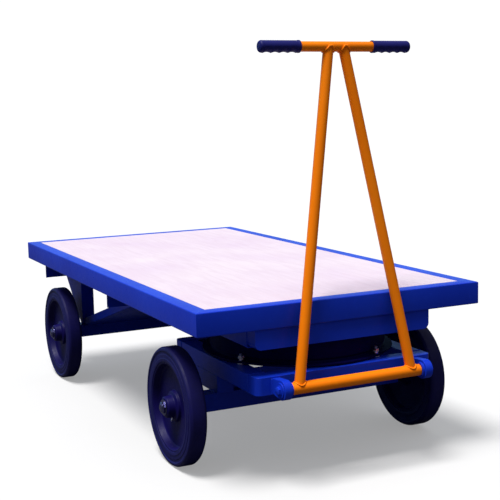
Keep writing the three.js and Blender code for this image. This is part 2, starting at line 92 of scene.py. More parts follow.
class Finish:
    """A material with one Principled shader, and short calls for the nodes that feed it."""

    def __init__(self, name, **constants):
        self.material = bpy.data.materials.new(name)
        self.material.use_nodes = True
        self.tree = self.material.node_tree
        self.tree.nodes.clear()
        self.shader = self.node("ShaderNodeBsdfPrincipled")
        output = self.node("ShaderNodeOutputMaterial")
        self.link(self.shader.outputs["BSDF"], output.inputs["Surface"])
        for socket, value in constants.items():
            self.shader.inputs[socket.replace("_", " ")].default_value = value
        self.place = self.node("ShaderNodeTexCoord").outputs["Object"]

    def node(self, kind, **settings):
        made = self.tree.nodes.new(kind)
        for key, value in settings.items():
            setattr(made, key, value)
        return made

    def link(self, source, target):
        self.tree.links.new(source, target)

    def stretched(self, scale, turn=0.0):
        mapping = self.node("ShaderNodeMapping")
        self.link(self.place, mapping.inputs["Vector"])
        mapping.inputs["Scale"].default_value = scale
        mapping.inputs["Rotation"].default_value = (0, 0, turn)
        return mapping.outputs["Vector"]

    def noise(self, scale, detail=2.0, rough=0.5, distort=0.0, place=None):
        made = self.node("ShaderNodeTexNoise")
        self.link(place or self.place, made.inputs["Vector"])
        made.inputs["Scale"].default_value = scale
        made.inputs["Detail"].default_value = detail
        made.inputs["Roughness"].default_value = rough
        made.inputs["Distortion"].default_value = distort
        return made.outputs["Fac"]

    def spots(self, scale):
        made = self.node("ShaderNodeTexVoronoi")
        self.link(self.place, made.inputs["Vector"])
        made.inputs["Scale"].default_value = scale
        return made.outputs["Distance"]

    def spread(self, value, low, high, to_low=0.0, to_high=1.0):
        """Maps the stretch from low to high onto the stretch from to_low to to_high."""
        made = self.node("ShaderNodeMapRange")
        self.link(value, made.inputs["Value"])
        limits = {"From Min": low, "From Max": high, "To Min": to_low, "To Max": to_high}
        for key, number in limits.items():
            made.inputs[key].default_value = number
        return made.outputs["Result"]

    def times(self, value, factor):
        made = self.node("ShaderNodeMath", operation="MULTIPLY")
        self.link(value, made.inputs[0])
        made.inputs[1].default_value = factor
        return made.outputs["Value"]

    def plus(self, first, second):
        made = self.node("ShaderNodeMath", operation="ADD")
        self.link(first, made.inputs[0])
        self.link(second, made.inputs[1])
        return made.outputs["Value"]

    def blend(self, factor, first, second):
        """Mixes two colours, each a tuple or another node's output."""
        made = self.node("ShaderNodeMix", data_type="RGBA")
        self.link(factor, made.inputs[0])
        for socket, value in ((made.inputs[6], first), (made.inputs[7], second)):
            if isinstance(value, tuple):
                socket.default_value = (*value, 1.0)
            else:
                self.link(value, socket)
        return made.outputs[2]

    def bump(self, height, depth, strength):
        """Adds a bump over whatever bumps the shader already has."""
        made = self.node("ShaderNodeBump")
        made.inputs["Distance"].default_value = depth
        made.inputs["Strength"].default_value = strength
        self.link(height, made.inputs["Height"])
        before = self.shader.inputs["Normal"]
        if before.is_linked:
            self.link(before.links[0].from_socket, made.inputs["Normal"])
        self.link(made.outputs["Normal"], before)

    def feed(self, socket, value):
        self.link(value, self.shader.inputs[socket])


WORN_GAIN = 1.22                      # how much paler paint is where it has been rubbed
WORN_LIFT = 0.003


def powder_coat(name, deep, bright, rough, spec):
    """Sprayed and baked paint: orange-peel skin, slow drift of tone, faint rub marks."""
    paint = Finish(name, Specular_IOR_Level=spec, IOR=1.3)
    drift = paint.spread(paint.noise(3.2, detail=3.0), 0.3, 0.7)
    rubs = paint.spread(paint.noise(46.0, detail=5.0, rough=0.7, distort=0.4), 0.56, 0.8, to_high=0.5)
    tone = paint.blend(drift, deep, bright)
    worn = tuple(min(1.0, WORN_GAIN * channel + WORN_LIFT) for channel in bright)
    paint.feed("Base Color", paint.blend(rubs, tone, worn))
    gloss = paint.noise(70.0, detail=4.0, rough=0.6)
    paint.feed("Roughness", paint.spread(gloss, 0.3, 0.7, rough - 0.05, rough + 0.07))
    paint.bump(paint.noise(9.0), depth=1.6 * MM, strength=0.25)
    paint.bump(paint.noise(420.0, rough=0.45), depth=0.22 * MM, strength=0.5)
    return paint.material


PLY_PALE = (0.66, 0.585, 0.64)
PLY_PINK = (0.60, 0.500, 0.60)
PLY_GRAIN = (0.50, 0.400, 0.48)
PLY_PORE = (0.42, 0.32, 0.40)
PLY_SPECK = (0.24, 0.16, 0.19)
GRAIN_STRETCH = (1.0, 0.11, 1.0)      # the grain runs along the deck
GRAIN_TURN = 0.03


def plywood():
    """Pale birch face with long soft grain, fine pores, cloudy patches and small specks."""
    wood = Finish("plywood", Specular_IOR_Level=0.2)
    along = wood.stretched(GRAIN_STRETCH, GRAIN_TURN)
    cloud = wood.spread(wood.noise(2.3, detail=4.0, rough=0.55, distort=0.5), 0.32, 0.7)
    grain = wood.spread(wood.noise(38.0, detail=6.0, rough=0.62, distort=0.9, place=along), 0.36, 0.66)
    pores = wood.spread(wood.noise(520.0, detail=3.0, rough=0.6, place=along), 0.56, 0.72)
    specks = wood.spread(wood.spots(9.0), 0.030, 0.012)
    tone = wood.blend(cloud, PLY_PALE, PLY_PINK)
    tone = wood.blend(wood.times(grain, 0.34), tone, PLY_GRAIN)
    tone = wood.blend(wood.times(pores, 0.16), tone, PLY_PORE)
    wood.feed("Base Color", wood.blend(wood.times(specks, 0.35), tone, PLY_SPECK))
    wood.feed("Roughness", wood.spread(grain, 0.0, 1.0, 0.62, 0.74))
    wood.bump(wood.plus(grain, pores), depth=0.18 * MM, strength=0.6)
    return wood.material


SCUFF_GAIN = 1.5                      # how much paler rubber is where it has been scuffed


def rubber(name, deep, pale, rough, grit):
    """Moulded rubber: fine grit, faint bloom and small scuffs."""
    made = Finish(name, Specular_IOR_Level=0.16)
    bloom = made.spread(made.noise(14.0, detail=5.0, rough=0.6, distort=0.3), 0.35, 0.75)
    scuff = made.spread(made.noise(120.0, detail=4.0, rough=0.7, distort=0.8), 0.60, 0.78, to_high=0.4)
    tone = made.blend(bloom, deep, pale)
    scuffed = tuple(SCUFF_GAIN * channel for channel in pale)
    made.feed("Base Color", made.blend(scuff, tone, scuffed))
    gloss = made.noise(60.0, detail=3.0)
    made.feed("Roughness", made.spread(gloss, 0.3, 0.7, rough - 0.07, rough + 0.08))
    made.bump(made.noise(900.0), depth=grit, strength=0.5)
    made.bump(made.noise(55.0, detail=3.0), depth=0.6 * MM, strength=0.3)
    return made.material


def zinc(name, deep, pale):
    """Zinc plate with a slightly clouded passivation."""
    made = Finish(name, Metallic=1.0)
    cloud = made.spread(made.noise(60.0, detail=4.0, rough=0.6), 0.3, 0.7)
    made.feed("Base Color", made.blend(cloud, deep, pale))
    made.feed("Roughness", made.spread(made.noise(150.0, detail=3.0), 0.3, 0.7, 0.20, 0.38))
    made.bump(made.noise(600.0), depth=0.08 * MM, strength=0.5)
    return made.material


def satin(name, deep, pale, rough, spec):
    """Thin satin paint over turned or cast metal."""
    made = Finish(name, Specular_IOR_Level=spec)
    cloud = made.spread(made.noise(11.0, detail=4.0, rough=0.6, distort=0.3), 0.32, 0.72)
    made.feed("Base Color", made.blend(cloud, deep, pale))
    gloss = made.noise(90.0, detail=3.0)
    made.feed("Roughness", made.spread(gloss, 0.3, 0.7, rough - 0.06, rough + 0.08))
    made.bump(made.noise(30.0, detail=3.0), depth=0.8 * MM, strength=0.3)
    made.bump(made.noise(500.0), depth=0.15 * MM, strength=0.5)
    return made.material


FINISHES = {
    "blue_paint": powder_coat(
        "blue_paint", deep=(0.005, 0.028, 0.46), bright=(0.008, 0.040, 0.55), rough=0.32, spec=0.24),
    "orange_paint": powder_coat(
        "orange_paint", deep=(0.93, 0.200, 0.002), bright=(1.00, 0.240, 0.004), rough=0.34, spec=0.25),
    "black_paint": satin(
        "black_paint", deep=(0.0015, 0.0012, 0.045), pale=(0.0025, 0.002, 0.065), rough=0.62, spec=0.04),
    "plywood": plywood(),
    "tyre_rubber": rubber(
        "tyre_rubber", deep=(0.005, 0.0045, 0.065), pale=(0.007, 0.006, 0.090), rough=0.54, grit=0.1 * MM),
    "wheel_centre": satin(
        "wheel_centre", deep=(0.004, 0.0025, 0.055), pale=(0.006, 0.004, 0.078), rough=0.44, spec=0.10),
    "zinc_steel": zinc("zinc_steel", deep=(0.46, 0.46, 0.60), pale=(0.66, 0.66, 0.80)),
    "grip_rubber": rubber(
        "grip_rubber", deep=(0.006, 0.007, 0.110), pale=(0.009, 0.011, 0.145), rough=0.50, grit=0.06 * MM),
}

DARK_NUT_ZINC = zinc("dark_nut_zinc", deep=(0.07, 0.07, 0.17), pale=(0.13, 0.13, 0.26))   # darker zinc, used for the dome nuts on the hubs


# ------------------------------------------------------------- mesh building


def skin(rings, wrap=False):
    """(verts, faces) joining a row of equal closed loops. The two ends are capped unless the row wraps."""
    count = len(rings[0])
    verts = [vertex for ring in rings for vertex in ring]
    faces = []
    spans = len(rings) if wrap else len(rings) - 1
    for i in range(spans):
        a = i * count
        b = ((i + 1) % len(rings)) * count
        for j in range(count):
            k = (j + 1) % count
            faces.append((a + j, a + k, b + k, b + j))
    if not wrap:
        faces.append(tuple(reversed(range(count))))
        faces.append(tuple(range(len(verts) - count, len(verts))))
    return verts, faces


LONGEST_FILLET = 0.48                 # of the shorter side that meets at the corner
STRAIGHT_ON = 0.49 * math.pi          # half angle from which a corner counts as straight


def rounded(points, steps=4):
    """A closed outline from (u, v, radius) corners, each turned on an arc of its radius."""
    outline = []
    for i, (u, v, radius) in enumerate(points):
        corner = Vector((u, v))
        before = Vector(points[i - 1][:2]) - corner
        after = Vector(points[(i + 1) % len(points)][:2]) - corner
        half = before.angle(after) / 2
        reach = min(radius / math.tan(half), LONGEST_FILLET * before.length, LONGEST_FILLET * after.length)
        if radius <= 0 or reach <= 0 or half > STRAIGHT_ON:
            outline.append(corner)
            continue
        true_radius = reach * math.tan(half)
        inward = (before.normalized() + after.normalized()).normalized()
        centre = corner + inward * (true_radius / math.sin(half))
        first = corner + before.normalized() * reach - centre
        last = corner + after.normalized() * reach - centre
        sweep = math.pi - 2 * half
        for step in range(steps + 1):
            share = step / steps
            a = math.sin((1 - share) * sweep) / math.sin(sweep)
            b = math.sin(share * sweep) / math.sin(sweep)
            outline.append(centre + first * a + last * b)
    return outline


def rounded_mm(points, steps=4):
    """rounded() for corners in millimetres."""
    return rounded([(u * MM, v * MM, radius * MM) for u, v, radius in points], steps)


def square_to(axis):
    """Two unit directions square to an axis and to each other."""
    first = axis.orthogonal().normalized()
    return first, axis.cross(first)


def lathe(profile, centre, axis, segments):
    """A body turned about an axis through centre, from a closed outline of (radius, height) points."""
    axis = axis.normalized()
    across, other = square_to(axis)
    rings = []
    for i in range(segments):
        angle = 2 * math.pi * i / segments
        out = across * math.cos(angle) + other * math.sin(angle)
        rings.append([centre + out * point[0] + axis * point[1] for point in profile])
    return skin(rings, wrap=True)


def tube(bore, radius, low, high, fillet=0.0, bore_fillet=0.0, steps=4):
    """Outline of a plain sleeve or washer, for lathe()."""
    return rounded([(bore, low, bore_fillet), (radius, low, fillet),
                    (radius, high, fillet), (bore, high, bore_fillet)], steps)


def prism(outline, place):
    """An outline of points that place() puts in space at each end, -1 and then 1."""
    return skin([[place(point, end) for point in outline] for end in (-1, 1)])


HEX_CHAMFER = 1.2 * MM
HEX_CHAMFER_REACH = 1.6               # how much wider than high the chamfer is


def hex_body(centre, axis, radius, low, high, turn=0.0):
    """A hexagonal nut or bolt head with its corners chamfered at the outer end."""
    across, other = square_to(axis)
    rings = []
    top = radius - HEX_CHAMFER_REACH * HEX_CHAMFER
    for height, size in ((low, radius), (high - HEX_CHAMFER, radius), (high, top)):
        ring = []
        for i in range(6):
            angle = turn + i * math.pi / 3
            out = across * math.cos(angle) + other * math.sin(angle)
            ring.append(centre + out * size + axis * height)
        rings.append(ring)
    return skin(rings)


BEAD_SPACING = 1.7 * MM
BEAD_SIDES = 8
BEAD_BODY = 0.93                      # share of the radius that every ring keeps
BEAD_RIPPLE = 0.10
BEAD_RIPPLE_TURN = 1.9                # radians from one ring to the next
BEAD_UNEVEN = 0.07
BEAD_UNEVEN_SCALE = 90.0
BEAD_TIP = 0.45                       # size of the first ring, which grows by BEAD_TAPER a ring
BEAD_TAPER = 0.25


def bead(path, radius, rng, closed=False):
    """A weld bead along a line of points: a small rippled rod with uneven, tapered ends."""
    points = []
    for start, end in zip(path, path[1:]):
        count = max(1, round((end - start).length / BEAD_SPACING))
        points += [start.lerp(end, i / count) for i in range(count)]
    if not closed:
        points.append(path[-1])
    phase = rng.random() * 6.0
    rings = []
    side = None
    total = len(points)
    for i, point in enumerate(points):
        ahead = points[(i + 1) % total] if closed or i + 1 < total else point
        behind = points[i - 1] if closed or i > 0 else point
        forward = (ahead - behind).normalized()
        side = forward.orthogonal() if side is None else side - forward * side.dot(forward)
        side = side.normalized()
        up = forward.cross(side)
        ripple = BEAD_RIPPLE * math.sin(phase + i * BEAD_RIPPLE_TURN)
        uneven = BEAD_UNEVEN * noise.noise(point * BEAD_UNEVEN_SCALE)
        taper = 1.0 if closed else min(1.0, BEAD_TIP + BEAD_TAPER * min(i, total - 1 - i))
        size = radius * (BEAD_BODY + ripple + uneven) * taper
        angles = [2 * math.pi * k / BEAD_SIDES for k in range(BEAD_SIDES)]
        rings.append([point + (side * math.cos(t) + up * math.sin(t)) * size for t in angles])
    return skin(rings, wrap=closed)


SAME_POINT = 0.002 * MM               # points this near are joined within one part
SAME_SPOT = 0.0001 * MM               # edges this short are dissolved


def build(name, parts, slot, body, nodes=(), sharp=35.0, finish=None):
    """One object from a list of (verts, faces), smooth except over sharp corners, riding on a body."""
    mesh = bpy.data.meshes.new(name)
    work = bmesh.new()
    for verts, faces in parts:
        made = [work.verts.new(v) for v in verts]
        for face in faces:
            work.faces.new([made[i] for i in face])
        bmesh.ops.remove_doubles(work, verts=made, dist=SAME_POINT)
    bmesh.ops.dissolve_degenerate(work, edges=work.edges, dist=SAME_SPOT)
    bmesh.ops.recalc_face_normals(work, faces=work.faces)
    work.to_mesh(mesh)
    work.free()
    mesh.polygons.foreach_set("use_smooth", [True] * len(mesh.polygons))
    mesh.set_sharp_from_angle(angle=math.radians(sharp))
    mesh.materials.append(finish or FINISHES[slot])
    obj = bpy.data.objects.new(name, mesh)
    scene.collection.objects.link(obj)
    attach(obj, body)
    if nodes:
        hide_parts(*nodes)
    return obj


# ----------------------------------------------- steel frame kept from the CAD

EASED_EDGE = 1.3 * MM                 # round on the edges of painted steel
EASED_BOARD = 0.8 * MM
SAME_VERTEX = 0.01 * MM
FLAT_WITHIN = math.radians(1.0)
EDGE_FROM = math.radians(32)
CREASE_FROM = math.radians(50)


def keep(node, slot):
    """A CAD node shown as it is, with its triangles merged into flat faces and its edges eased."""
    obj = frame["nodes"][node]
    mesh = obj.data
    if "custom_normal" in mesh.attributes:
        mesh.attributes.remove(mesh.attributes["custom_normal"])
    mesh.polygons.foreach_set("use_smooth", [True] * len(mesh.polygons))
    mesh.materials.clear()
    mesh.materials.append(FINISHES[slot])
    weld = obj.modifiers.new("weld", "WELD")
    weld.merge_threshold = SAME_VERTEX
    flat = obj.modifiers.new("flat", "DECIMATE")
    flat.decimate_type = "DISSOLVE"
    flat.angle_limit = FLAT_WITHIN
    edge = obj.modifiers.new("edges", "BEVEL")
    edge.width = EASED_BOARD if slot == "plywood" else EASED_EDGE
    edge.segments = 2
    edge.angle_limit = EDGE_FROM
    split = obj.modifiers.new("split", "EDGE_SPLIT")
    split.split_angle = CREASE_FROM
    even = obj.modifiers.new("even", "WEIGHTED_NORMAL")
    even.keep_sharp = True


# ----------------------------------------------------------------- deck rails

RAIL_SHEET = 3.0 * MM
BAND = deck_low.x - cad_low.x          # border outside the plywood, with the gap
OUTER_FOLD = 3.6 * MM                  # radius of the sheet's outer folds
LIP_FOLD = 2.4 * MM                    # the fold beside the plywood
INNER_FOLD = 1.0 * MM
CUT_EDGE = 0.8 * MM
LEDGE_EDGE = 0.6 * MM
MITRE_SEAM = 0.04 * MM


def rail_outline():
    """Folded section from (distance inward, height): skirt, top band, and the ledge under the plywood."""
    x0, x1, _, _, z0, z1 = corners("deck_rail_left")
    reach = x1 - x0
    band = BAND - GAP
    ledge = deck_low.z - GAP
    s = RAIL_SHEET
    return rounded([
        (0, z0, OUTER_FOLD), (band, z0, CUT_EDGE), (band, z0 + s, CUT_EDGE), (s, z0 + s, INNER_FOLD),
        (s, z1 - s, INNER_FOLD), (band - s, z1 - s, INNER_FOLD), (band - s, ledge - s, INNER_FOLD),
        (reach, ledge - s, CUT_EDGE), (reach, ledge, CUT_EDGE), (band, ledge, LEDGE_EDGE),
        (band, z1, LIP_FOLD), (0, z1, OUTER_FOLD),
    ], steps=5)


def deck_rails():
    """Four rails of one folded section, mitred where they meet."""
    outline = rail_outline()
    half_x = (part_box("deck_rail_right")[1].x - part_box("deck_rail_left")[0].x) / 2
    half_y = (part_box("deck_rail_rear")[1].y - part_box("deck_rail_front")[0].y) / 2

    def side_rail(sign):
        def place(point, end):
            run = half_y - point[0] - MITRE_SEAM
            return Vector((sign * (half_x - point[0]), deck_centre.y + end * run, point[1]))
        return place

    def end_rail(sign):
        def place(point, end):
            run = half_x - point[0] - MITRE_SEAM
            return Vector((end * run, deck_centre.y + sign * (half_y - point[0]), point[1]))
        return place

    for row, rail in ((SIDES, side_rail), (ENDS, end_rail)):
        for where, sign in row:
            name = f"deck_rail_{where}"
            build(f"{name}_folded", [prism(outline, rail(sign))], "blue_paint", "deck", [name])


# --------------------------------------------------------------------- wheels
# Outlines here are (radius, distance from the wheel's middle plane, fillet) in millimetres.

WHEEL_RADIUS = 200
RIM_RADIUS = 150
RIM_FIT = 149.7                        # the wheel centre's edge, inside the tyre
HUB_BORE = 22.2
NIPPLE_RADIUS = 37 * MM                # where the grease nipple leaves the hub
NIPPLE_OFFSET = 19 * MM
NIPPLE_LEAN = 0.35
NIPPLE_TURN = 1.25                     # radians round from the nut's first corner


def tyre_outline():
    back = [(RIM_RADIUS, -29, 1.5), (161, -30, 1.5), (164, -27.5, 1.5), (184, -27.5, 1.5), (187, -30, 1.5)]
    tread = [(195, -29, 6), (WHEEL_RADIUS, -21, 7), (WHEEL_RADIUS, 21, 7), (195, 29, 6)]
    face = [(187, 30, 1.5), (184, 27.2, 1.5), (176, 27.2, 1.0), (175, 28.6, 1.0), (163, 28.6, 1.0),
            (161, 30, 1.5), (RIM_RADIUS, 29, 1.5)]
    return rounded_mm(back + tread + face, steps=5)


def centre_outline():
    back = [(HUB_BORE, -38, 1), (36, -38, 3), (52, -6, 6), (139, -4, 5), (144, -26, 2)]
    rim = [(RIM_FIT, -26, 1), (RIM_FIT, 27, 1), (144, 27, 2)]
    dish = [(138, 3, 7), (53, 1, 3)]
    hub = [(51, 11.5, 3.5), (38, 15, 4), (35.5, 38, 5), (31, 41.6, 2), (HUB_BORE, 41.6, 1)]
    return rounded_mm(back + rim + dish + hub, steps=5)


def nipple(base, direction):
    """A grease nipple: threaded shoulder, neck and ball head."""
    shoulder = [(0, 0), (4.2, 0), (4.2, 4), (3.0, 5), (3.0, 7.5)]
    head = [(1.9, 8.4), (3.0, 10), (2.7, 11.6), (1.4, 12.8), (0, 13)]
    return lathe([(r * MM, h * MM) for r, h in shoulder + head], base, direction, 16)


def cap_nut(hub, axis, turn):
    """Washer, hexagon and pressed dome on the axle's end."""
    seat, hex_foot, hex_top = 42.2, 44.8, 51.2
    washer = tube(13 * MM, 27 * MM, seat * MM, hex_foot * MM,
                  fillet=0.8 * MM, bore_fillet=0.8 * MM, steps=2)
    dome = rounded_mm([(0, hex_foot, 0), (16.5, hex_foot, 0), (16.5, 51.5, 1), (14.5, 52.5, 1),
                       (12.5, 55.3, 3), (0, 55.9, 0)])
    return [lathe(washer, hub, axis, 48), lathe(dome, hub, axis, 40),
            hex_body(hub, axis, 21 * MM, hex_foot * MM, hex_top * MM, turn)]


def wheel(end, side, sign, turn):
    """Tyre, dished centre and grease nipple on the wheel, and the nut on the axle that carries it."""
    name = f"wheel_{end}_{side}"
    body = f"{end}_{side}_wheel"
    carrier = "bogie" if end == "front" else "deck"
    hub = middle(f"{name}_tyre")
    axis = ACROSS * sign
    tyre = lathe(tyre_outline(), hub, axis, 128)
    build(f"{name}_solid_tyre", [tyre], "tyre_rubber", body, [f"{name}_tyre"], sharp=50)
    centre = lathe(centre_outline(), hub, axis, 112)
    build(f"{name}_disc", [centre], "wheel_centre", body, [f"{name}_centre"], sharp=50)
    angle = turn + NIPPLE_TURN
    out = Vector((0, -math.cos(angle), -math.sin(angle)))
    base = hub + out * NIPPLE_RADIUS + axis * NIPPLE_OFFSET
    build(f"{name}_grease_nipple", [nipple(base, out + axis * NIPPLE_LEAN)], "zinc_steel", body)
    build(f"{name}_dome_nut", cap_nut(hub, axis, turn), "zinc_steel", carrier, [f"{name}_cap_nut"],
          sharp=32, finish=DARK_NUT_ZINC)


def wheels():
    rng = random.Random(7)
    for end, _ in ENDS:
        for side, sign in SIDES:
            first = (end, side) == ("front", "left")
            wheel(end, side, sign, 0.0 if first else rng.uniform(0, 2 * math.pi))


# ------------------------------------------------------------------ turntable
# Ring outlines are (radius, height over the floor, fillet) in millimetres.

FLANGE_RADIUS = 330                    # lower ring
FLANGE_BOTTOM = 355
FLANGE_THICK = 6
NECK_BORE = 278
NECK_RADIUS = 294
NECK_TOP = 400
UPPER_BORE = 266                       # upper ring, with a skirt that hangs round the balls
UPPER_BOTTOM = 418
UPPER_TOP = 434.7
SKIRT_INNER = 299
SKIRT_OUTER = 304
SKIRT_BOTTOM = 372
BALL_CIRCLE = 286 * MM
BALL_RADIUS = 8.5 * MM
BALL_COUNT = 10
CAGE_HALF = 3 * MM
STUD_COUNT = 4


def turntable_rings(centre):
    flange_top = FLANGE_BOTTOM + FLANGE_THICK
    lower = rounded_mm([
        (NECK_BORE, FLANGE_BOTTOM, 0.8), (FLANGE_RADIUS, FLANGE_BOTTOM, 1.2),
        (FLANGE_RADIUS, flange_top, 1.6), (NECK_RADIUS + 6, flange_top, 3),
        (NECK_RADIUS + 0.4, flange_top + 8, 2),
        (NECK_RADIUS, NECK_TOP, 1), (NECK_BORE, NECK_TOP, 1)])
    build("turntable_flange_ring", [lathe(lower, centre, UP, 160)],
          "black_paint", "bogie", ["turntable_lower_ring"], sharp=50)
    upper = rounded_mm([
        (UPPER_BORE, UPPER_BOTTOM, 1), (SKIRT_INNER, UPPER_BOTTOM, 1), (SKIRT_INNER, SKIRT_BOTTOM, 1),
        (SKIRT_OUTER, SKIRT_BOTTOM, 1.5), (SKIRT_OUTER, UPPER_TOP, 0.6), (UPPER_BORE, UPPER_TOP, 0.6)])
    build("turntable_skirt_ring", [lathe(upper, centre, UP, 160)],
          "black_paint", "deck", ["turntable_upper_ring"], sharp=50)


def turntable_balls(centre):
    """Ten balls in a ring-shaped cage."""
    level = middle("turntable_ball_race").z
    cage = tube(BALL_CIRCLE - CAGE_HALF, BALL_CIRCLE + CAGE_HALF, level - CAGE_HALF, level + CAGE_HALF,
                fillet=1 * MM, bore_fillet=1 * MM, steps=2)
    parts = [lathe(cage, centre, UP, 96)]
    arc = [t * math.pi / 10 for t in range(11)]
    ball = [(BALL_RADIUS * math.sin(t), -BALL_RADIUS * math.cos(t)) for t in arc]
    for i in range(BALL_COUNT):
        angle = 2 * math.pi * (i + 0.5) / BALL_COUNT
        spot = centre + Vector((math.cos(angle), math.sin(angle), 0)) * BALL_CIRCLE + UP * level
        parts.append(lathe(ball, spot, UP, 20))
    build("turntable_balls", parts, "zinc_steel", "bogie", ["turntable_ball_race"], sharp=60)


SHANK_RADIUS = 5.9 * MM
STUD_BORE = 6 * MM                     # of the sleeve and washer round the shank
THREAD_ROOT = 5.1 * MM
THREAD_TURNS = 8
SLEEVE_LENGTH = 9 * MM                 # from the flange up to the washer
WASHER_THICK = 1.9 * MM
NUT_TOP = 10 * MM                      # over the washer's seat
SPACER_THICK = 4.4 * MM


def stud_shank(seat, top):
    """Half outline of a stud: plain shank, then a rolled thread over the nut."""
    thread = []
    thread_low = seat + NUT_TOP + 0.5 * MM
    pitch = (top - 1 * MM - thread_low) / (THREAD_TURNS - 1)
    for turn in range(THREAD_TURNS):
        height = thread_low + pitch * turn
        thread += [(THREAD_ROOT, height), (SHANK_RADIUS, height + 0.5 * MM)]
    return [(0, 0), (SHANK_RADIUS, 0), (SHANK_RADIUS, seat + NUT_TOP - 1 * MM), *thread,
            (4.6 * MM, top), (0, top)]


def turntable_stud(number):
    """Stud through the flange, with a spacer below and a sleeve, washer and nut above."""
    node = f"turntable_stud_{number}"
    _, _, _, _, low, high = corners(node)
    spot = middle(node)
    spot.z = low
    flange = FLANGE_BOTTOM * MM + FLANGE_THICK * MM - low
    seat = flange + SLEEVE_LENGTH
    nut_foot = seat + WASHER_THICK
    spacer = tube(6.2 * MM, 14 * MM, 0, SPACER_THICK, fillet=1 * MM, steps=2)
    sleeve = tube(STUD_BORE, 9 * MM, flange + GAP, seat, fillet=0.6 * MM, steps=2)
    washer = tube(STUD_BORE, 12 * MM, seat, nut_foot, fillet=0.5 * MM, steps=2)
    parts = [lathe(stud_shank(seat, high - low), spot, UP, 24)]
    parts += [lathe(outline, spot, UP, 32) for outline in (spacer, sleeve, washer)]
    parts.append(hex_body(spot, UP, 11 * MM, nut_foot, seat + NUT_TOP, turn=number - 0.6))
    build(f"{node}_nut", parts, "zinc_steel", "bogie", [node], sharp=40)


def turntable():
    centre = middle("turntable_lower_ring")
    centre.z = 0
    turntable_rings(centre)
    turntable_balls(centre)
    for number in range(1, STUD_COUNT + 1):
        turntable_stud(number)


# -------------------------------------------------------------------- drawbar

PIVOT_TUBE_RADIUS = 19 * MM
PIVOT_TUBE_BORE = 8.4 * MM
BAR_RADIUS = 16 * MM
BAR_BORE = 13 * MM
LEG_RADIUS = 16.85 * MM
LEG_BORE = 13.85 * MM
LEG_FOOT_X = 206.5 * MM                # where the legs' centre lines meet the pivot tube's
LEG_HEAD_X = 26.6 * MM                 # and the top bar's
LEG_FOOT_WELD = 3.4 * MM
LEG_HEAD_WELD = 4.2 * MM
LEG_SIDES = 48
LEG_SPANS = 6


def meet(start, run, out, line, radius, far):
    """How far along a leg its wall crosses a bar of that radius that runs along X through line."""
    flat = Vector((start.y - line.y + out.y, start.z - line.z + out.z))
    step = Vector((run.y, run.z))
    a = step.dot(step)
    b = 2 * flat.dot(step)
    c = flat.dot(flat) - radius * radius
    root = math.sqrt(max(0.0, b * b - 4 * a * c))
    return (-b + (root if far else -root)) / (2 * a)


def leg(side, sign, pivot, bar, rng):
    """One tube, cut to fit the pivot tube and the top bar, and its two round welds."""
    foot = Vector((sign * LEG_FOOT_X, pivot.y, pivot.z))
    head = Vector((sign * LEG_HEAD_X, bar.y, bar.z))
    run = (head - foot).normalized()
    across = (ACROSS - run * run.x).normalized()
    other = run.cross(across)
    rings, low_weld, high_weld = [], [], []
    for i in range(LEG_SIDES):
        angle = 2 * math.pi * i / LEG_SIDES
        out = across * math.cos(angle) + other * math.sin(angle)
        wall = out * LEG_RADIUS
        bore = out * LEG_BORE
        low = meet(foot, run, wall, pivot, PIVOT_TUBE_RADIUS, True)
        high = meet(foot, run, wall, bar, BAR_RADIUS, False)
        low_in = meet(foot, run, bore, pivot, PIVOT_TUBE_RADIUS, True)
        high_in = meet(foot, run, bore, bar, BAR_RADIUS, False)
        steps = [foot + wall + run * (low + (high - low) * k / LEG_SPANS) for k in range(LEG_SPANS + 1)]
        rings.append([*steps, foot + bore + run * high_in, foot + bore + run * low_in])
        low_weld.append(foot + wall * 1.06 + run * low)
        high_weld.append(foot + wall * 1.06 + run * high)
    node = f"drawbar_leg_{side}"
    build(f"{node}_tube", [skin(rings, wrap=True)], "orange_paint", "drawbar", [node], sharp=40)
    return [bead([*low_weld, low_weld[0]], LEG_FOOT_WELD, rng, closed=True),
            bead([*high_weld, high_weld[0]], LEG_HEAD_WELD, rng, closed=True)]


def drawbar():
    pivot = middle("drawbar_pivot_tube")
    bar = middle("drawbar_top_bar")
    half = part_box("drawbar_pivot_tube")[1].x
    sleeve = tube(PIVOT_TUBE_BORE, PIVOT_TUBE_RADIUS, -half, half,
                  fillet=1.6 * MM, bore_fillet=1 * MM, steps=3)
    build("drawbar_cross_tube", [lathe(sleeve, pivot, ACROSS, 64)],
          "orange_paint", "drawbar", ["drawbar_pivot_tube"], sharp=40)
    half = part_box("drawbar_top_bar")[1].x
    rod = tube(BAR_BORE, BAR_RADIUS, -half, half, fillet=1 * MM, bore_fillet=1 * MM, steps=2)
    build("drawbar_handle_bar", [lathe(rod, bar, ACROSS, 64)],
          "orange_paint", "drawbar", ["drawbar_top_bar"], sharp=40)

    rng = random.Random(3)
    welds = []
    for side, sign in SIDES:
        welds += leg(side, sign, pivot, bar, rng)
    build("drawbar_welds", welds, "orange_paint", "drawbar", (), sharp=80)

    for side, sign in SIDES:
        grip(side, sign, bar)
        pivot_bolt(side, sign, pivot)


GRIP_BORE = 16.3 * MM
GRIP_RADIUS = 19.0 * MM
COLLAR_RADIUS = 19.9 * MM
COLLAR_LIP = 0.9 * MM                  # how far the collar's open edge is rounded down
COLLAR_LIP_LENGTH = 1.2 * MM
COLLAR_LENGTH = 5 * MM
COLLAR_END = 8 * MM                    # where the collar has run out into the body
ROUND_END = 9 * MM
END_WALL = 6 * MM
FINGER_GROOVES = 4
GROOVES_START = 11 * MM
GROOVED_FROM = 10 * MM
UNGROOVED = 24 * MM                    # collar and end together
GROOVE_DEPTH = 2.4 * MM
GROOVE_SWELL = 0.9 * MM                # how far the bumps between fingers stand out
RIB_DEPTH = 0.35 * MM
RIB_PITCH = 7.5 * MM
GRIP_STEPS = 110
GRIP_SIDES = 56


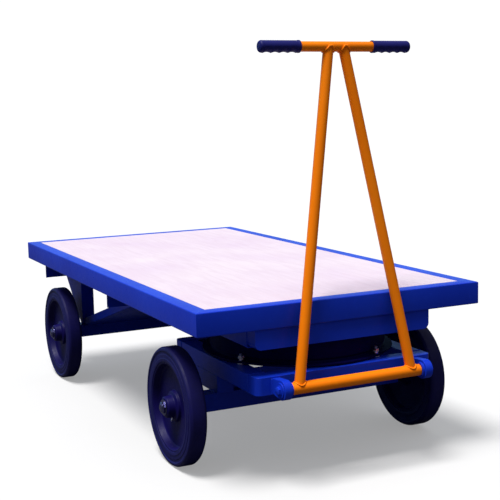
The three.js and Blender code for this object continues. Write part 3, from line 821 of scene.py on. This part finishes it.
def grip_profile(length):
    """Grip section before its grooves: bore, rolled collar, body, round end with a ring, end wall."""
    profile = [(GRIP_BORE, 0.0)]
    for i in range(GRIP_STEPS + 1):
        s = length * i / GRIP_STEPS
        from_end = length - s
        radius = GRIP_RADIUS
        if s < COLLAR_LENGTH:
            radius = COLLAR_RADIUS - COLLAR_LIP * max(0.0, (1 - s / COLLAR_LIP_LENGTH)) ** 2
        elif s < COLLAR_END:
            share = (s - COLLAR_LENGTH) / (COLLAR_END - COLLAR_LENGTH)
            radius = COLLAR_RADIUS + (GRIP_RADIUS - COLLAR_RADIUS) * share
        if from_end < ROUND_END:
            share = 1 - from_end / ROUND_END
            radius = GRIP_RADIUS - ROUND_END * (1 - math.sqrt(max(0.0, 1 - share * share)))
        profile.append((radius, s))
    ring = [(9.2 * MM, length), (8.6 * MM, length - 0.9 * MM), (7.4 * MM, length - 0.9 * MM),
            (6.8 * MM, length)]
    wall = [(0.0, length), (0.0, length - END_WALL), (GRIP_BORE, length - END_WALL)]
    return profile + ring + wall


def grooved(radius, s, angle, pitch):
    """A point's radius once the finger grooves below and the fine ribs above are pressed in."""
    below = max(0.0, -math.sin(angle))
    above = max(0.0, math.sin(angle)) ** 2
    wave = math.sqrt(0.5 - 0.5 * math.cos(2 * math.pi * (s - GROOVES_START) / pitch))
    ribs = RIB_DEPTH * (0.5 - 0.5 * math.cos(2 * math.pi * s / RIB_PITCH))
    pressed = GROOVE_DEPTH * below ** 0.8 * wave + ribs * above
    return radius - pressed + GROOVE_SWELL * below * (1 - wave)


def grip(side, sign, bar):
    """A moulded sleeve with four finger grooves below and fine ribs on top."""
    low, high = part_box(f"grip_{side}")
    length = high.x - low.x
    start = bar + ACROSS * sign * (max(abs(low.x), abs(high.x)) - length)
    profile = grip_profile(length)
    pitch = (length - UNGROOVED) / FINGER_GROOVES
    rings = []
    for k in range(GRIP_SIDES):
        angle = 2 * math.pi * k / GRIP_SIDES
        ring = []
        for radius, s in profile:
            outside = radius > GRIP_BORE + 0.4 * MM
            if outside and GROOVED_FROM < s < length - ROUND_END:
                radius = grooved(radius, s, angle, pitch)
            ring.append(start + Vector((sign * s, math.cos(angle) * radius, math.sin(angle) * radius)))
        rings.append(ring)
    node = f"grip_{side}"
    build(f"{node}_moulded", [skin(rings, wrap=True)], "grip_rubber", "drawbar", [node], sharp=50)


BOLT_RADIUS = 8 * MM
BOLT_HEAD = 10 * MM                    # from the lug's boss to the end of the head
BOLT_HEX_RADIUS = 14 * MM
BOLT_WASHER_RADIUS = 17 * MM


def pivot_bolt(side, sign, pivot):
    """Shank through lug and pivot tube, with a washer and a hexagonal head outside."""
    node = f"drawbar_pivot_bolt_{side}"
    low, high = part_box(node)
    head_end = max(abs(low.x), abs(high.x))
    tip = min(abs(low.x), abs(high.x))
    boss_face = head_end - BOLT_HEAD
    hex_foot = boss_face + 2.4 * MM
    washer = tube(BOLT_RADIUS, BOLT_WASHER_RADIUS, boss_face + 0.2 * MM, hex_foot,
                  fillet=0.5 * MM, bore_fillet=0.5 * MM, steps=2)
    shank_end = boss_face + 3 * MM
    shank = [(0, tip), (BOLT_RADIUS, tip), (BOLT_RADIUS, shank_end), (0, shank_end)]
    axis = ACROSS * sign
    centre = Vector((0, pivot.y, pivot.z))
    parts = [lathe(washer, centre, axis, 40), lathe(shank, centre, axis, 32),
             hex_body(centre, axis, BOLT_HEX_RADIUS, hex_foot, head_end, turn=0.3)]
    build(f"{node}_head", parts, "blue_paint", "bogie", [node], sharp=40)


# ---------------------------------------------------------------- weld seams

LIGHT_WELD = 2.2 * MM                  # bead radii
SHORT_WELD = 2.6 * MM
HEAVY_WELD = 3.0 * MM
LUG_WELD = 3.2 * MM
LUG_FACES = (271 * MM, 245 * MM)       # outer and inner face of each lug
LUG_WELD_ABOVE = 4 * MM                # over the lug's foot
LUG_WELD_BELOW = 6 * MM                # under the lug's top
POST_WELD = 20 * MM
ANGLE_WELD = 10 * MM                   # along the end of a cross-member
BRACE_WELD = (2 * MM, 33 * MM)         # over the foot of the brace's upper end
AXLE_HALF = 30 * MM


class Seams:
    """Weld beads where the steel members meet, grouped by the body they ride on."""

    def __init__(self, seed):
        self.rng = random.Random(seed)
        self.beads = {"deck": [], "bogie": []}

    def run(self, body, start, end, size=HEAVY_WELD):
        self.beads[body].append(bead([Vector(start), Vector(end)], size, self.rng))

    def box_end(self, body, node, sign, end_sign, with_top):
        """Round the end of a side member, where it meets the front or rear one."""
        x0, x1, y0, y1, z0, z1 = corners(node)
        y = y0 if end_sign < 0 else y1
        outer, inner = (x0, x1) if sign < 0 else (x1, x0)
        for z in (z0, z1) if with_top else (z0,):
            self.run(body, (outer, y, z), (inner, y, z), LIGHT_WELD)
        self.run(body, (outer, y, z0), (outer, y, z1), LIGHT_WELD)
        self.run(body, (inner, y, z0), (inner, y, z1))

    def axle_bracket(self, side):
        """Along the bracket's top, and beside the axle beam at its foot."""
        x0, x1, y0, y1, z0, z1 = corners(f"axle_bracket_{side}")
        for y in (y0, y1):
            self.run("bogie", (x0, y, z1), (x1, y, z1))
        centre = middle("front_axle").y
        for x in (x0, x1):
            self.run("bogie", (x, centre - AXLE_HALF, z0), (x, centre + AXLE_HALF, z0))

    def lug(self, side, sign):
        _, _, _, _, z0, z1 = corners(f"drawbar_lug_{side}")
        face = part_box("bogie_frame_front")[0].y
        low, high = z0 + LUG_WELD_ABOVE, z1 - LUG_WELD_BELOW
        for x in LUG_FACES:
            self.run("bogie", (sign * x, face, low), (sign * x, face, high), LUG_WELD)

    def rear_bracket(self, side):
        x0, x1, y0, _, z0, z1 = corners(f"rear_bracket_{side}")
        for x in (x0, x1):
            for z in (z0, z1):
                self.run("deck", (x, y0, z), (x, y0 + POST_WELD, z))
        self.run("deck", (x0, y0, z1), (x1, y0, z1))

    def rear_brace(self, side):
        x0, x1, _, y1, z0, _ = corners(f"rear_brace_{side}")
        low, high = BRACE_WELD
        for x in (x0, x1):
            self.run("deck", (x, y1, z0 + low), (x, y1, z0 + high), SHORT_WELD)

    def cross_member(self, node):
        x0, x1, y0, y1, _, z1 = corners(node)
        for y in (y0, y1):
            self.run("deck", (x0, y, z1), (x0 + ANGLE_WELD, y, z1))
            self.run("deck", (x1 - ANGLE_WELD, y, z1), (x1, y, z1))
        for x in (x0, x1):
            self.run("deck", (x, y0, z1), (x, y1, z1), SHORT_WELD)


def weld_seams():
    seams = Seams(11)
    for side, sign in SIDES:
        for _, end_sign in ENDS:
            seams.box_end("bogie", f"bogie_frame_{side}", sign, end_sign, with_top=True)
            seams.box_end("deck", f"turntable_box_{side}", sign, end_sign, with_top=False)
        seams.axle_bracket(side)
        seams.lug(side, sign)
        seams.rear_bracket(side)
        seams.rear_brace(side)
    for node in ("middle_cross_member", "rear_cross_member"):
        seams.cross_member(node)
    for body, beads in seams.beads.items():
        build(f"{body}_welds", beads, "blue_paint", body, (), sharp=80)


# ---------------------------------------------------------- floor, light, camera

FLOOR_REACH = 60.0
PAPER_PALE = (0.46, 0.46, 0.46)        # what the camera sees
PAPER_DEEP = (0.45, 0.45, 0.45)
PAPER_GLOW = 0.30
PAPER_BOUNCE = (0.09, 0.09, 0.10)      # what lights the trolley from below
DOME_COLOUR = (0.93, 0.95, 1.0)
BACKDROP_COLOUR = (0.26, 0.62, 1.0)
WHITE = (1.0, 1.0, 1.0)
BLACK = (0.0, 0.0, 0.0)
SKY_WHITE = 1.05                       # strength of the plain white that the camera sees
SUN_TOWARDS = Vector((-0.30, -0.08, 0.95))
SUN_ENERGY = 4.0
SUN_ANGLE = math.radians(22)
SUN_COLOUR = (1.0, 0.985, 0.97)


def floor():
    """White paper sweep. It looks white where lit, but throws little light back at the trolley."""
    mesh = bpy.data.meshes.new("floor")
    r = FLOOR_REACH
    mesh.from_pydata([(-r, -r, 0), (r, -r, 0), (r, r, 0), (-r, r, 0)], [], [(0, 1, 2, 3)])
    obj = bpy.data.objects.new("floor", mesh)
    scene.collection.objects.link(obj)
    paper = Finish("studio_floor", Specular_IOR_Level=0.0, Roughness=1.0, Emission_Strength=PAPER_GLOW)
    seen = paper.node("ShaderNodeLightPath").outputs["Is Camera Ray"]
    tone = paper.blend(paper.spread(paper.noise(1.5), 0.3, 0.7), PAPER_DEEP, PAPER_PALE)
    paper.feed("Base Color", paper.blend(seen, PAPER_BOUNCE, tone))
    paper.feed("Emission Color", paper.blend(seen, BLACK, WHITE))
    mesh.materials.append(paper.material)


def dome():
    """Sky that is bright overhead, blue behind the trolley and dark along the horizon in front."""
    world = bpy.data.worlds.new("studio")
    scene.world = world
    world.use_nodes = True
    tree = world.node_tree
    tree.nodes.clear()
    link = tree.links.new

    def ramp(source, low, high, to_low, to_high):
        made = tree.nodes.new("ShaderNodeMapRange")
        made.interpolation_type = "SMOOTHSTEP"
        link(source, made.inputs["Value"])
        limits = {"From Min": low, "From Max": high, "To Min": to_low, "To Max": to_high}
        for key, number in limits.items():
            made.inputs[key].default_value = number
        return made.outputs["Result"]

    def background(colour):
        made = tree.nodes.new("ShaderNodeBackground")
        made.inputs["Color"].default_value = (*colour, 1.0)
        return made

    direction = tree.nodes.new("ShaderNodeSeparateXYZ")
    link(tree.nodes.new("ShaderNodeTexCoord").outputs["Generated"], direction.inputs[0])
    overhead = ramp(direction.outputs["Z"], 0.05, 0.9, 0.05, 0.62)
    toward_rear = ramp(direction.outputs["Y"], 0.1, 0.8, 0.0, 0.8)
    low_down = ramp(direction.outputs["Z"], 0.1, 0.6, 1.0, 0.0)
    behind = tree.nodes.new("ShaderNodeMath")
    behind.operation = "MULTIPLY"
    link(toward_rear, behind.inputs[0])
    link(low_down, behind.inputs[1])

    sky = background(DOME_COLOUR)
    link(overhead, sky.inputs["Strength"])
    backdrop = background(BACKDROP_COLOUR)
    link(behind.outputs["Value"], backdrop.inputs["Strength"])
    both = tree.nodes.new("ShaderNodeAddShader")
    link(sky.outputs[0], both.inputs[0])
    link(backdrop.outputs[0], both.inputs[1])
    white = background(WHITE)
    white.inputs["Strength"].default_value = SKY_WHITE
    choose = tree.nodes.new("ShaderNodeMixShader")
    link(tree.nodes.new("ShaderNodeLightPath").outputs["Is Camera Ray"], choose.inputs[0])
    link(both.outputs[0], choose.inputs[1])
    link(white.outputs[0], choose.inputs[2])
    link(choose.outputs[0], tree.nodes.new("ShaderNodeOutputWorld").inputs["Surface"])


def softbox():
    """A broad sun from above, slightly to the left and in front."""
    sun = bpy.data.lights.new("softbox", "SUN")
    sun.energy = SUN_ENERGY
    sun.angle = SUN_ANGLE
    sun.color = SUN_COLOUR
    lamp = bpy.data.objects.new("softbox", sun)
    lamp.rotation_mode = "QUATERNION"
    lamp.rotation_quaternion = SUN_TOWARDS.to_track_quat("Z", "Y")
    scene.collection.objects.link(lamp)


CAMERA_AZIMUTH = math.radians(-25.7021)
CAMERA_ELEVATION = math.radians(7.8487)
CAMERA_ROLL = math.radians(-1.3012)
CAMERA_LEFT = 1.7186                   # from the trolley's centre line
CAMERA_AHEAD = 3.8710                  # from the middle of the deck
CAMERA_HEIGHT = 1.1915
CAMERA_LENS = 76.59                    # millimetres, on a sensor 36 mm wide
CAMERA_SENSOR = 36.0


def camera():
    """Seen from in front and to the left, a little above the deck."""
    place = Vector((-CAMERA_LEFT, deck_centre.y - CAMERA_AHEAD, CAMERA_HEIGHT))
    level = math.cos(CAMERA_ELEVATION)
    back = Vector((math.sin(CAMERA_AZIMUTH) * level, -math.cos(CAMERA_AZIMUTH) * level,
                   math.sin(CAMERA_ELEVATION)))
    right = (-back).cross(UP).normalized()
    up = right.cross(-back)
    turned_right = right * math.cos(CAMERA_ROLL) + up * math.sin(CAMERA_ROLL)
    turned_up = up * math.cos(CAMERA_ROLL) - right * math.sin(CAMERA_ROLL)
    data = bpy.data.cameras.new("camera")
    data.sensor_width = CAMERA_SENSOR
    data.lens = CAMERA_LENS
    obj = bpy.data.objects.new("camera", data)
    scene.collection.objects.link(obj)
    obj.matrix_world = Matrix((
        (turned_right.x, turned_up.x, back.x, place.x),
        (turned_right.y, turned_up.y, back.y, place.y),
        (turned_right.z, turned_up.z, back.z, place.z),
        (0, 0, 0, 1),
    ))
    scene.camera = obj


# ------------------------------------------------------------------- assembly

camera()
floor()
dome()
softbox()
scene.view_settings.view_transform = "Standard"
for part in frame["record"]["subparts"]:
    keep(part["node"], part["material_slot"])
deck_rails()
wheels()
turntable()
drawbar()
weld_seams()
